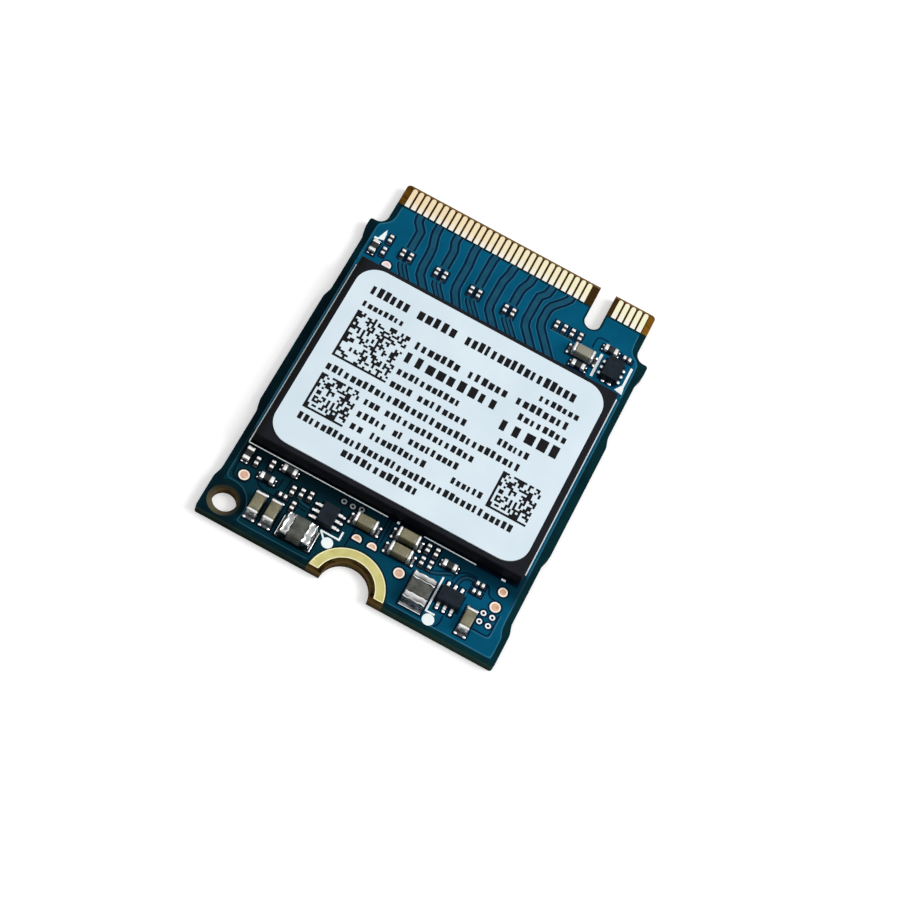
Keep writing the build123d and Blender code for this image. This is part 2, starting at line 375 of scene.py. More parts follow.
def paintPowerZoneShade(tree, where, tone, paintedShade):  # dimmer among the power parts, and darkest beside the package
    across, along = axisOf(tree, where, "X"), axisOf(tree, where, "Y")
    far = ranged(tree, along, screwEnd + powerZone["zoneEnd"], screwEnd + powerZone["restStart"], 0, 1)
    right = ranged(tree, across, powerZone["dimTo"], powerZone["fullFrom"], 0, 1)
    tone = mixColours(tree, mathOf(tree, "MAXIMUM", far, right), paintedShade, tone)
    shadeStart, shadeEnd = screwEnd + powerZone["shadeStart"], screwEnd + powerZone["shadeEnd"]
    front = ranged(tree, along, shadeStart, shadeEnd, 1, powerZone["shade"])
    return mixColours(tree, mathOf(tree, "MAXIMUM", far, front), (0, 0, 0), tone)


def makeFinish(name, look):  # speckled surface between two colours, with its own gloss and grain
    finish, tree, shader, where = startFinish(name)
    blotch = noiseOf(tree, where, look["blotch"], detail=4)
    tone = mixColours(tree, ranged(tree, blotch, *speckle, 0, 1), look["dark"], look["light"])
    for axis, start, end, colour in look.get("fades", ()):  # turns to another colour along the card
        tone = mixColours(tree, ranged(tree, axisOf(tree, where, axis), start, end, 0, 1), tone, colour)
    # painted shade among the power parts
    if "paintedShade" in look:
        tone = paintPowerZoneShade(tree, where, tone, look["paintedShade"])
    tree.links.new(tone, shader.inputs["Base Color"])
    grain = noiseOf(tree, where, look["grain"], 2, look.get("stretch", (1, 1, 1)))
    gloss = ranged(tree, grain, *speckle, *look["rough"])
    tree.links.new(gloss, shader.inputs["Roughness"])
    gleam = look.get("specular", 0.5)
    setSockets(shader, {"Metallic": look.get("metal", 0), "Specular IOR Level": gleam})
    addBump(tree, shader, grain, look["bump"], look["depth"])
    return finish


# the masks darken to a painted shade among the power parts
maskBlue = makeFinish("maskOverCopper", dict(
    dark=(0.0004, 0.070, 0.138), light=(0.0010, 0.094, 0.180), blotch=0.5, paintedShade=(0.0012, 0.026, 0.040),
    grain=6, rough=(0.40, 0.50), bump=0.1, depth=0.01, specular=0.02))
maskNavy = makeFinish("maskOverInnerPlane", dict(
    dark=(0.0005, 0.010, 0.030), light=(0.0009, 0.020, 0.056), blotch=1.0, paintedShade=(0.0003, 0.0045, 0.010),
    grain=6, rough=(0.45, 0.55), bump=0.1, depth=0.01, specular=0.03))
maskTrace = makeFinish("maskOverTraces", dict(
    dark=(0.005, 0.062, 0.110), light=(0.010, 0.082, 0.142), blotch=1.5, paintedShade=(0.004, 0.040, 0.062),
    grain=8, rough=(0.42, 0.52), bump=0.1, depth=0.01, specular=0.05))
# the beads along the pour's edge and the pairs' rims are a lighter blue, a painted highlight for glints on
# the mask's slope
maskEdgePaintedHighlight = makeFinish("maskOverPourEdgePaintedHighlight", dict(
    dark=(0.008, 0.105, 0.185), light=(0.020, 0.140, 0.235), blotch=1.2, paintedShade=(0.006, 0.062, 0.100),
    grain=8, rough=(0.35, 0.48), bump=0.1, depth=0.01, specular=0.1))
whiteInk = makeFinish("whiteInk", dict(
    dark=(0.80, 0.87, 0.88), light=(0.88, 0.93, 0.93), blotch=3,
    grain=18, rough=(0.45, 0.6), bump=0.3, depth=0.006))
goldFinger = makeFinish("goldFingers", dict(
    dark=(1.0, 0.76, 0.46), light=(1.0, 0.84, 0.56), blotch=0.35, metal=1,
    # the fingers whiten towards the mask line, a painted highlight; they also turn paler towards the right
    fades=[("X", -10, 6, (1.0, 0.97, 0.68)), ("Y", maskLine + 0.7, maskLine, (1.0, 0.98, 0.92))],
    grain=10, stretch=(3, 0.3, 1), rough=(0.34, 0.44), bump=0.1, depth=0.004))
goldRing = makeFinish("goldScrewPad", dict(
    dark=(0.55, 0.50, 0.18), light=(0.66, 0.62, 0.27), blotch=1.6, metal=1,
    grain=22, rough=(0.42, 0.56), bump=0.3, depth=0.005))
# the screw pad's rim is a paler copy of its gold, a painted highlight
goldRimPaintedHighlight = makeFinish("goldScrewPadRimPaintedHighlight", dict(
    dark=(0.84, 0.80, 0.48), light=(0.95, 0.93, 0.66), blotch=1.2, metal=1,
    grain=14, rough=(0.30, 0.42), bump=0.2, depth=0.004))
barePad = makeFinish("bareCopper", dict(
    dark=(0.58, 0.31, 0.20), light=(0.78, 0.52, 0.39), blotch=2.5, metal=1,
    fades=[("Y", 3, 8, (0.86, 0.68, 0.68))],
    grain=15, rough=(0.42, 0.55), bump=0.2, depth=0.004))
# the probe pads' rims are a paler copy of their copper, a painted highlight
padRimPaintedHighlight = makeFinish("bareCopperRimPaintedHighlight", dict(
    dark=(0.86, 0.74, 0.62), light=(0.99, 0.92, 0.82), blotch=2.0, metal=1,
    fades=[("Y", 3, 8, (0.98, 0.90, 0.89))],
    grain=12, rough=(0.30, 0.45), bump=0.2, depth=0.004))
tinPlate = makeFinish("tinPlate", dict(
    dark=(0.78, 0.79, 0.78), light=(0.97, 0.97, 0.95), blotch=3, metal=0.75,
    grain=9, rough=(0.22, 0.38), bump=0.35, depth=0.012))
ringTinPaintedShade = makeFinish("viaTin", dict(
    dark=(0.78, 0.80, 0.80), light=(0.96, 0.97, 0.96), blotch=3, metal=1,
    # vias left of the middle darken, a painted shade
    fades=[("X", 1, -1, (0.24, 0.28, 0.29))],
    grain=12, rough=(0.3, 0.42), bump=0.3, depth=0.006))
# the solder pads are given near-black metal, a painted shade from the chips over them
padTinPaintedShade = makeFinish("padTinPaintedShade", dict(
    dark=(0.035, 0.040, 0.045), light=(0.15, 0.16, 0.17), blotch=3, metal=1,
    grain=12, rough=(0.34, 0.5), bump=0.3, depth=0.008))
terminalTop = boxOf("inductor_1_terminals")[1].z
terminalTinPaintedShade = makeFinish("terminalSolder", dict(
    dark=(0.84, 0.86, 0.85), light=(1.0, 1.0, 0.98), blotch=2.2, metal=1,
    # the terminal metal darkens below its top edge, a painted shade under the bright ridge
    fades=[("Z", terminalTop - 0.02, terminalTop - 0.12, (0.20, 0.21, 0.21))],
    grain=5, rough=(0.14, 0.28), bump=0.35, depth=0.02))
# the solder slopes are given dark metal, a painted shade
terminalSlopePaintedShade = makeFinish("terminalSlopePaintedShade", dict(
    dark=(0.05, 0.055, 0.06), light=(0.55, 0.56, 0.56), blotch=1.8, metal=1,
    grain=6, rough=(0.18, 0.34), bump=0.35, depth=0.02))
# fillet solder is given near-black metal, a painted shade; the beads keep tin's bright colour
solderPaintedShade = makeFinish("solderFilletPaintedShade", dict(
    dark=(0.030, 0.034, 0.038), light=(0.16, 0.17, 0.18), blotch=4, metal=1,
    grain=8, rough=(0.20, 0.36), bump=0.3, depth=0.01))
solderShine = makeFinish("solderBead", dict(
    dark=(0.80, 0.82, 0.83), light=(0.97, 0.98, 0.98), blotch=4, metal=1,
    grain=8, rough=(0.22, 0.34), bump=0.2, depth=0.006))
mouldBlack = makeFinish("mouldingCompound", dict(
    dark=(0.0050, 0.0056, 0.0090), light=(0.0085, 0.0092, 0.0140), blotch=1.5,
    # the package top darkens along its left edge, a painted shade
    fades=[("X", -9.3, -9.9, (0.0008, 0.0012, 0.0018))],
    grain=30, rough=(0.5, 0.65), bump=0.3, depth=0.006, specular=0.12))
chipBlack = makeFinish("chipMoulding", dict(
    dark=(0.0060, 0.0100, 0.0155), light=(0.0120, 0.0200, 0.0290), blotch=2.5,
    grain=34, rough=(0.5, 0.65), bump=0.3, depth=0.005, specular=0.10))
tanCeramic = makeFinish("tanCeramic", dict(
    dark=(0.100, 0.090, 0.033), light=(0.187, 0.167, 0.087), blotch=2.2,
    fades=[("Y", 3, 8, (0.228, 0.220, 0.166))],
    grain=14, rough=(0.24, 0.36), bump=0.06, depth=0.005, specular=0.9))
darkCeramic = makeFinish("darkCeramic", dict(
    dark=(0.008, 0.010, 0.011), light=(0.030, 0.033, 0.034), blotch=3,
    grain=16, rough=(0.35, 0.5), bump=0.2, depth=0.005, specular=0.25))
pressedCore = makeFinish("pressedCore", dict(
    dark=(0.044, 0.047, 0.040), light=(0.112, 0.116, 0.100), blotch=2.6,
    grain=20, rough=(0.5, 0.7), bump=0.5, depth=0.012, specular=0.25))
labelFilm = makeFinish("labelFilm", dict(
    dark=(0.630, 0.745, 0.815), light=(0.695, 0.800, 0.865), blotch=0.35,
    grain=24, rough=(0.42, 0.55), bump=0.12, depth=0.003, specular=0.3))
labelInk = makeFinish("labelInk", dict(
    dark=(0.003, 0.003, 0.004), light=(0.008, 0.008, 0.010), blotch=3,
    grain=24, rough=(0.5, 0.65), bump=0.15, depth=0.002, specular=0.12))


cardLook = dict(
    mask=((0.0006, 0.0090, 0.0150), (0.0016, 0.0250, 0.0310)),  # each pair from dark to light
    edge=((0.0015, 0.006, 0.003), (0.016, 0.042, 0.031)),
    amber=((0.055, 0.022, 0.001), (0.215, 0.095, 0.008)),
    wall=((0.018, 0.009, 0.002), (0.150, 0.095, 0.028)),
    # the pair below is the dark brown of bare flat laminate beside the notch
    bareFlat=((0.008, 0.003, 0.0005), (0.062, 0.038, 0.008)),
    holeWall=((0.024, 0.021, 0.015), (0.098, 0.082, 0.050)),
    strip=((0.042, 0.020, 0.005), (0.165, 0.092, 0.030)),  # between the fingers, and at the tip
    tipReach=0.16, fingersReach=9.5, back=(0.001, 0.075, 0.155), notchBare=2.78, holeBare=1.12,
    # the bare rim round the hole gets a painted light on one side
    hole=(-9.61, 1.32), paintedLightAt=(-10.2, 0.6), paintedLightReach=0.9, paintedLightSoft=0.6,  # y from the screw end
    weave=1.6, stretch=(0.5, 1.4, 6), weaveRange=(0.35, 0.65), fibres=0.5,  # cloth and layers at cut edges
    # lean tilts colours darker on the left and lighter on the right, a painted light from the right; the cut
    # edges and walls also get lighter towards the top
    lean=0.35, lift=0.25, skin=0.1, blotch=0.6, blotchRange=(0.1, 0.9),
    bareRough=0.65, maskRough=0.46, grain=8, grainRough=0.05, bump=0.15, depth=0.01, specular=0.02,
)


def makeCardFinish(look):  # mask on the flat faces, bare laminate at the edges, contacts and holes
    finish, tree, shader, where = startFinish("cardLaminate")
    shape = tree.nodes.new("ShaderNodeNewGeometry")
    upward = axisOf(tree, shape.outputs["Normal"], "Z")
    placeX, placeY, placeZ = [axisOf(tree, where, axis) for axis in "XYZ"]
    flat = tree.nodes.new("ShaderNodeCombineXYZ")
    tree.links.new(placeX, flat.inputs["X"])
    tree.links.new(placeY, flat.inputs["Y"])

    def calc(operation, first, second=0):
        return mathOf(tree, operation, first, second)

    def mix(factor, first, second):
        return mixColours(tree, factor, first, second)

    def nearer(x, y, radius, soft=0.03):
        gap = tree.nodes.new("ShaderNodeVectorMath")
        gap.operation = "DISTANCE"
        gap.inputs[1].default_value = (x, screwEnd + y, 0)
        tree.links.new(flat.outputs["Vector"], gap.inputs[0])
        return ranged(tree, gap.outputs["Value"], radius - soft, radius + soft, 1, 0)

    def shareOf(*parts):
        total = parts[0]
        for part in parts[1:]:
            total = calc("ADD", total, part)
        return total

    face = calc("GREATER_THAN", calc("ABSOLUTE", upward), 0.5)
    contacts = calc("GREATER_THAN", placeY, maskLine)
    notch = nearer(0, 0, look["notchBare"])
    hole = nearer(*look["hole"], look["holeBare"])
    bare = calc("MAXIMUM", contacts, calc("MAXIMUM", notch, hole))
    masked = calc("MULTIPLY", face, calc("SUBTRACT", 1, bare))

    weave = noiseOf(tree, where, look["weave"], 4, look["stretch"])
    weave = ranged(tree, weave, *look["weaveRange"], 0, 1)
    fibres = calc("MULTIPLY", weave, look["fibres"])
    lean, lift, skin = look["lean"], look["lift"], look["skin"]
    # painted light: the mask, laminate and edges are lighter towards the right
    paintedRightLight = ranged(tree, placeX, cardLow.x, cardHigh.x, -lean, lean)
    toTop = ranged(tree, placeZ, skin, cardTop - skin, -lean, lean)
    amber = mix(shareOf(fibres, paintedRightLight, lift), *look["amber"])
    inside = calc("LESS_THAN", calc("ABSOLUTE", placeX), look["fingersReach"])
    inside = calc("MULTIPLY", calc("MULTIPLY", inside, face), contacts)
    ahead = calc("GREATER_THAN", placeY, tip - look["tipReach"])
    amber = mix(inside, amber, mix(ahead, *look["strip"]))
    wall = mix(shareOf(fibres, toTop, lift), *look["wall"])
    # painted light: a lit patch on the hole's bare rim
    paintedLight = nearer(*look["paintedLightAt"], look["paintedLightReach"], look["paintedLightSoft"])
    bareFlat = mix(hole, mix(weave, *look["bareFlat"]), mix(paintedLight, *look["holeWall"]))
    amber = mix(contacts, mix(face, wall, bareFlat), amber)
    edge = mix(shareOf(fibres, toTop, paintedRightLight, lift), *look["edge"])
    laminate = mix(bare, edge, amber)
    blotch = ranged(tree, noiseOf(tree, where, look["blotch"]), *speckle, *look["blotchRange"])
    front = mix(shareOf(blotch, paintedRightLight), *look["mask"])
    mask = mix(calc("LESS_THAN", upward, -0.5), front, look["back"])
    tree.links.new(mix(masked, laminate, mask), shader.inputs["Base Color"])
    grain = noiseOf(tree, where, look["grain"])
    uneven = ranged(tree, grain, *speckle, -look["grainRough"], look["grainRough"])
    gloss = ranged(tree, masked, 0, 1, look["bareRough"], look["maskRough"])
    tree.links.new(calc("ADD", gloss, uneven), shader.inputs["Roughness"])
    shader.inputs["Specular IOR Level"].default_value = look["specular"]
    addBump(tree, shader, weave, look["bump"], look["depth"])
    return finish


cardFinish = makeCardFinish(cardLook)

nodeFinishes = [
    ("circuit_board", cardFinish), ("contact_fingers", goldFinger), ("screw_pad", goldRing),
    ("probe_pads", barePad), ("via_rings", ringTinPaintedShade), ("solder_pads", padTinPaintedShade),
    ("inductor_1_terminals", terminalTinPaintedShade), ("inductor_2_terminals", terminalTinPaintedShade),
    ("solder_balls", tinPlate), ("memory_package", mouldBlack), ("label", labelFilm),
    ("large_capacitor", tanCeramic), ("medium_chip", darkCeramic), ("coupling", darkCeramic),
    ("contact_side_chip", darkCeramic), ("power_side_chip", darkCeramic), ("inductor", pressedCore),
    ("converter", chipBlack), ("power_switch", chipBlack),
]
metalEndings = ("_ends", "_terminals", "_leads", "_pads")
ownMetal = ("probe", "screw", "solder", "inductor")


def finishFor(nodeName):
    if nodeName.endswith(metalEndings) and not nodeName.startswith(ownMetal):
        return tinPlate
    return [finish for start, finish in nodeFinishes if nodeName.startswith(start)][0]


for nodeName, node in nodes.items():
    for materialSlot in node.material_slots:
        materialSlot.material = finishFor(nodeName)
print("CAD nodes dressed")


# chips: their plain blocks give way to blocks with round edges, and uneven metal on the big terminals

chipForms = [  # start and end of the node's name, edge radius, slot, depth of the ripple and of the hollow
    ("large_capacitor", "_ends", 0.11, "tin", 0.03, 0),
    ("large_capacitor", "_body", 0.09, "tan_ceramic", 0, 0),
    ("medium_chip", "_ends", 0.06, "tin", 0, 0),
    ("medium_chip", "_body", 0.03, "dark_ceramic", 0, 0),
    ("coupling_capacitor", "_ends", 0.05, "tin", 0, 0),
    ("contact_side_chip", "_ends", 0.05, "tin", 0, 0),
    ("power_side_chip", "_ends", 0.05, "tin", 0, 0),
    ("inductor", "_terminals", 0.08, "tin", 0.14, 0.10),
    ("inductor", "_core", 0.10, "pressed_core", 0.05, 0),
]
ripple = dict(grain=0.3, cuts=5, waves=((9.5, 0, 1), (16, 1, 0.6)), near=0.01)  # a wave's pace, lag and share


def hollowTops(piece, boxes, depth):  # tops sink between wavy long edges, as solder sets
    near = ripple["near"]
    for low, high in boxes:
        size = high - low
        axis = 0 if size.x < size.y else 1
        for vertex in piece.data.vertices:
            inside = all(low[i] - near < vertex.co[i] < high[i] + near for i in (0, 1))
            if inside and vertex.co.z > high.z - size[axis] / 4:
                across = 2 * (vertex.co[axis] - low[axis]) / size[axis] - 1
                along = vertex.co[1 - axis]
                vertex.co.z -= depth * (1 - across * across)
                wave = sum(share * math.sin(along * pace + lag) for pace, lag, share in ripple["waves"])
                vertex.co[axis] += depth / 2 * wave


def rippleSurface(piece, depth):  # uneven skin of molten metal
    pickOnly(piece)
    cloud = bpy.data.textures.new("ripple", "CLOUDS")
    cloud.noise_scale = ripple["grain"]
    wave = piece.modifiers.new("ripple", "DISPLACE")
    wave.texture = cloud
    wave.strength = depth
    applyModifiers(piece)
    bpy.data.textures.remove(cloud)


def softenNode(nodeName, radius, slot, waves, hollow):
    boxes = islandBoxes(nodeName)
    piece = joinPieces(nodeName + "_soft", [addBlock("softBlock", low, high) for low, high in boxes])
    roundEdges(piece, radius, segments=3)
    if waves:
        startEdit(piece)
        bpy.ops.mesh.subdivide(number_cuts=ripple["cuts"])
        endEdit()
        hollowTops(piece, boxes, hollow)
        rippleSurface(piece, waves)
    finishPiece(piece, finishFor(nodeName), roundAngle)
    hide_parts(nodeName)


for start, ending, *form in chipForms:
    for nodeName in sorted(nodes):
        if nodeName.startswith(start) and nodeName.endswith(ending):
            softenNode(nodeName, *form)
print("chips softened")


# copper under the mask: an inner plane that shows in the gaps, the pour on it, and the traces

copper = dict(
    planeHeight=0.006, pourHeight=0.024, softEdge=0.007,
    outline=[(-10.35, 0.4), (10.6, 0.4), (10.6, 2.2), (10.35, 2.6), (10.35, 25.6), (10.1, 25.95),
             (9.6, 26.3), (9.45, 26.7), (9.45, 28.02), (-9.5, 28.02), (-9.5, 26.9), (-9.7, 26.35),
             (-10.3, 25.9), (-10.35, 25.6)],
    notchClear=2.86, holeClear=1.5, holeAt=(-9.54, 1.4),
    keyMiddle=6.125, keyFloor=27.1, keyClear=0.74, cell=0.97, notchSides=96, holeSides=64,
    # clear is partly a painted shade round the chips; packageShade is a painted shade band
    clear=0.13, packageShade=((-10.02, 5.84), (10.02, 7.0)),
    channel=0.72, traceWidth=0.18, traceGap=0.03, openGap=0.09, groove=0.008, neckRise=0.001,
    oneChannel=0.36, oneWidth=0.17, seamWidth=0.11,
    # the beads are real raised mask, coloured lighter as a painted highlight
    beadWidth=0.09, rimWidth=0.06, beadRise=0.003,  # where the mask thickens along the pour's edge
)
pairs = dict(  # spread is half the distance between a pair's capacitors, start and end are their pads
    spread=0.3, start=24.95, end=24.1, windowLow=24.0, windowHigh=25.08, windowHalf=0.60)

# runs of the pairs from the contacts towards the package: x from the middle, y from the screw end
plainRuns = [
    [(-6.5, 28.1), (-6.5, 27.6), (-6.47, 27.2), (-6.2, 26.2), (-6.14, 25.6), (-6.12, 24.4),
     (-6.0, 23.75), (-5.3, 22.8), (-4.4, 21.6)],
    [(-3.5, 28.1), (-3.52, 27.6), (-3.5, 27.2), (-3.4, 26.3), (-3.4, 25.3), (-3.4, 24.3),
     (-3.28, 23.8), (-2.75, 22.85), (-1.9, 21.6)],
    [(-0.5, 28.1), (-0.56, 27.7), (-0.58, 27.3), (-0.75, 26.5), (-0.75, 25.5), (-0.75, 24.4),
     (-0.63, 23.85), (0.15, 22.85), (1.1, 21.6)],
    [(2.5, 28.1), (2.47, 27.75), (2.4, 27.35), (2.02, 26.85), (1.98, 26.2), (1.97, 24.6),
     (2.12, 24.1), (3.1, 22.85), (4.1, 21.6)],
    [(4.0, 28.1), (3.95, 27.8), (3.7, 27.4), (3.1, 26.65), (2.96, 26.2), (2.95, 25.2),
     (3.1, 24.65), (4.5, 22.85), (5.5, 21.6)],
]
brokenRuns = [  # these pass through a pair of coupling capacitors
    (-7.47, [(-8.0, 28.1), (-8.0, 27.8), (-7.93, 27.5), (-7.48, 26.9), (-7.46, 26.3), (-7.46, 25.2)],
     [(-7.46, 23.9), (-7.4, 23.65), (-6.75, 22.75), (-5.9, 21.6)]),
    (-4.77, [(-5.0, 28.1), (-5.03, 27.75), (-5.0, 27.45), (-4.78, 26.8), (-4.77, 26.2), (-4.77, 25.2)],
     [(-4.75, 23.9), (-4.7, 23.65), (-4.0, 22.75), (-3.1, 21.6)]),
    (-2.07, [(-2.0, 28.1), (-2.07, 27.7), (-2.08, 26.8), (-2.07, 25.2)],
     [(-2.15, 23.95), (-2.05, 23.7), (-1.3, 22.8), (-0.4, 21.6)]),
    (0.63, [(1.0, 28.1), (0.97, 27.8), (0.95, 27.5), (0.67, 26.75), (0.63, 26.2), (0.63, 25.2)],
     [(0.65, 24.0), (0.75, 23.8), (1.6, 22.8), (2.6, 21.6)]),
]
singleRuns = [  # lone traces among the power parts
    [(6.38, 3.95), (6.4, 4.35), (6.6, 4.7), (6.95, 4.9), (7.35, 4.86)],
    [(4.45, 3.9), (4.95, 4.05), (5.35, 4.35), (5.8, 4.5)],
    [(-5.6, 4.3), (-5.35, 3.95), (-5.0, 3.8), (-4.5, 3.78)],
]
seams = [  # narrow gaps that part the pour into its nets
    [(-10.08, 5.6), (-10.08, 4.2), (-10.05, 3.45), (-9.8, 3.15), (-9.3, 3.1), (-8.95, 3.2)],
    [(-8.65, 4.05), (-8.3, 3.65), (-8.0, 3.38), (-7.5, 3.28), (-6.8, 3.3)],
    [(-6.95, 4.75), (-6.95, 4.3), (-6.98, 3.95), (-7.3, 3.75), (-7.7, 3.7)],
    [(-6.42, 5.0), (-6.42, 4.4), (-6.5, 3.85)],
    [(-5.35, 3.48), (-5.1, 3.42), (-4.6, 3.4)],
    [(-1.25, 4.05), (-1.25, 3.3), (-1.27, 2.55)],
    [(0.42, 6.0), (0.42, 5.0), (0.42, 4.0), (0.5, 3.7)],
    [(0.68, 6.0), (0.68, 5.0), (0.68, 3.95)],
    [(5.95, 4.15), (6.05, 4.65), (6.35, 4.98), (6.8, 5.15), (7.4, 5.12)],
    [(8.1, 5.1), (8.4, 4.95), (8.47, 4.6), (8.65, 4.35), (9.0, 4.28), (9.35, 4.3)],
    [(8.55, 1.72), (9.2, 1.7), (9.68, 1.72), (9.8, 1.9), (9.8, 2.6), (9.8, 3.5)],
    [(6.55, 1.5), (6.57, 1.1), (6.5, 0.75), (6.3, 0.45)],
    [(6.92, 25.2), (6.92, 25.9), (7.0, 26.2), (7.3, 26.28), (7.8, 26.25)],
]
# these beads are coloured as a painted highlight, for light lines along the pour
edgeBeads = [
    [(-10.31, 22.3), (-10.31, 12.0), (-10.31, 3.6), (-10.28, 3.1), (-10.0, 2.93), (-9.5, 2.93),
     (-9.0, 2.82), (-8.5, 2.45), (-8.2, 1.95), (-8.05, 1.4), (-8.15, 0.8), (-8.2, 0.5), (-7.8, 0.44),
     (-5.5, 0.44), (-3.0, 0.44)],
    [(3.0, 0.44), (7.0, 0.44), (9.9, 0.44), (10.5, 0.44), (10.56, 0.8), (10.56, 1.4), (10.56, 2.1),
     (10.4, 2.5), (10.31, 2.9), (10.31, 4.5), (10.31, 14.0), (10.31, 22.3)],
    [(-10.31, 22.6), (-10.31, 24.2), (-10.31, 25.5), (-10.2, 25.92), (-9.75, 26.25), (-9.48, 26.75),
     (-9.46, 27.3), (-9.46, 27.9)],
    [(10.31, 22.6), (10.31, 24.0), (10.31, 25.5), (10.05, 25.95), (9.6, 26.25), (9.42, 26.7), (9.41, 27.9)],
    [(3.75, 24.88), (4.6, 24.88), (5.45, 24.88)], [(7.17, 3.9), (7.17, 3.2), (7.17, 2.6)],
    [(9.9, 3.5), (9.9, 2.4), (9.9, 1.75), (9.75, 1.6), (9.2, 1.59), (8.6, 1.59)],
]

maskLow, maskHigh = cardTop, cardTop + copper["pourHeight"]
beadLow, beadHigh = cardTop + copper["planeHeight"], maskHigh + copper["beadRise"]
cutLow, cutHigh = cardTop - 1, cardTop + 1  # cutters go well past both sides
channelCutters = []
traces = []
beads = []


def cutChannel(line, width, smooth=False):
    channelCutters.append(layTrack("channel", line, width, cutLow, cutHigh, smooth))


def layTrace(line, width, smooth=False, rise=0):
    traces.append(layTrack("trace", line, width, maskLow, maskHigh + rise, smooth))


# beads are raised strips with a painted highlight colour
def layBead(line, width, smooth=False):
    beads.append(layTrack("bead", line, width, beadLow, beadHigh, smooth))


def layPair(route, parted=False):
    line = fromScrewEnd(route)
    cutChannel(line, copper["channel"])
    apart = (copper["traceWidth"] + copper["openGap" if parted else "traceGap"]) / 2
    rim = (copper["channel"] + copper["rimWidth"]) / 2
    for side in (-1, 1):
        layTrace(shiftedRoute(line, side * apart), copper["traceWidth"])
        layBead(shiftedRoute(line, side * rim), copper["rimWidth"])
    if not parted:
        layTrace(line, copper["traceGap"], rise=-copper["groove"])


def layNecks(middle, upper, lower):  # short runs from a pair's traces out to its capacitors' pads
    apart = (copper["traceWidth"] + copper["traceGap"]) / 2
    for side in (-1, 1):
        for (x, y), reach in ((upper[-1], pairs["start"]), (lower[0], pairs["end"])):
            neck = fromScrewEnd([(x + side * apart, y), (middle + side * pairs["spread"], reach)])
            layTrace(neck, copper["traceWidth"], rise=copper["neckRise"])


for route in plainRuns:
    layPair(route)
for middle, upper, lower in brokenRuns:
    layPair(upper)
    layPair(lower, parted=True)
    layNecks(middle, upper, lower)
    left, right = middle - pairs["windowHalf"], middle + pairs["windowHalf"]
    corners = [(left, pairs["windowLow"]), (right, pairs["windowHigh"])]
    channelCutters.append(addBar("window", corners, cutLow, cutHigh))
for route in singleRuns:
    cutChannel(fromScrewEnd(route), copper["oneChannel"], smooth=True)
    layTrace(fromScrewEnd(route), copper["oneWidth"], smooth=True)
for route in seams:
    cutChannel(fromScrewEnd(route), copper["seamWidth"], smooth=True)
for route in edgeBeads:
    layBead(fromScrewEnd(route), copper["beadWidth"], smooth=True)


def copperHoles():  # the plane and the pour are cut by the same holes
    middle, floor, half = copper["keyMiddle"], copper["keyFloor"], copper["keyClear"]
    spots = [
        (0, 0, copper["notchClear"], copper["notchSides"]),
        (*copper["holeAt"], copper["holeClear"], copper["holeSides"]),
        (middle, floor, half, copper["holeSides"]),
    ]
    holes = [addBar("keySlot", [(middle - half, floor), (middle + half, tip - screwEnd)], cutLow, cutHigh)]
    for x, y, radius, sides in spots:
        holes.append(addDisc("clear", x, screwEnd + y, radius, cutLow, cutHigh, sides))
    return holes


def arcOver(x, y, radius, start, steps):  # from the height of start on the right, over the top, to the left
    dip = math.asin(max(-1, (start - y) / radius))
    turns = [dip + (math.pi - 2 * dip) * i / steps for i in range(steps + 1)]
    return [(x + radius * math.cos(turn), y + radius * math.sin(turn)) for turn in turns]


def padOutline(low, high, spare, sides=28):  # round pad, or one with its lower side cut off
    radius = (high.x - low.x) / 2
    return arcOver((low.x + high.x) / 2, high.y - radius, radius + spare, low.y - spare, sides)


# the clearances are real but widened to stand for the shade round the chips, and the band in front of the
# package is a painted shade: both show the dark plane
def padWindows():  # the pour keeps clear of every pad, ring and chip
    windows = []
    room = Vector((copper["clear"], copper["clear"], 1))
    roundNodes = ["probe_pads", "via_rings"]
    bodies = [nodeName for nodeName in sorted(nodes) if nodeName.endswith(("_body", "_bodies", "_core"))]
    for nodeName in ["solder_pads"] + roundNodes + bodies:
        for low, high in islandBoxes(nodeName):
            if nodeName in roundNodes:
                window = drawSheet("padWindow", padOutline(low, high, copper["clear"]), cutLow, cutHigh)
            else:
                window = addBlock("bodyWindow", low - room, high + room)
            windows.append(window)
    # painted shade: a band in front of the package is cut out so the dark plane shows
    windows.append(addBar("shadeWindow", copper["packageShade"], cutLow, cutHigh))
    return windows


pourOutline = fromScrewEnd(copper["outline"])
innerPlane = drawSheet("inner_plane", pourOutline, cardTop, cardTop + copper["planeHeight"])
cutAway(innerPlane, copperHoles())
finishPiece(innerPlane, maskNavy)

copperPour = drawSheet("copper_pour", pourOutline, maskLow, maskHigh)
partIntoCells(copperPour, copper["cell"])
cutAway(copperPour, copperHoles() + channelCutters + padWindows())
roundEdges(copperPour, copper["softEdge"])
finishPiece(copperPour, maskBlue)

for name, pieces, finish in (("pour_edge", beads, maskEdgePaintedHighlight), ("pair_traces", traces, maskTrace)):
    finishPiece(roundEdges(joinPieces(name, pieces), copper["softEdge"]), finish)
print("copper laid")


# bright rims where the bare metal ends, on the screw pad and on the probe pads: raised rims, coloured lighter
# as a painted highlight

rims = dict(width=0.07, padWidth=0.11, rise=0.006, step=0.001, soft=0.002, steps=40, through=0.05)


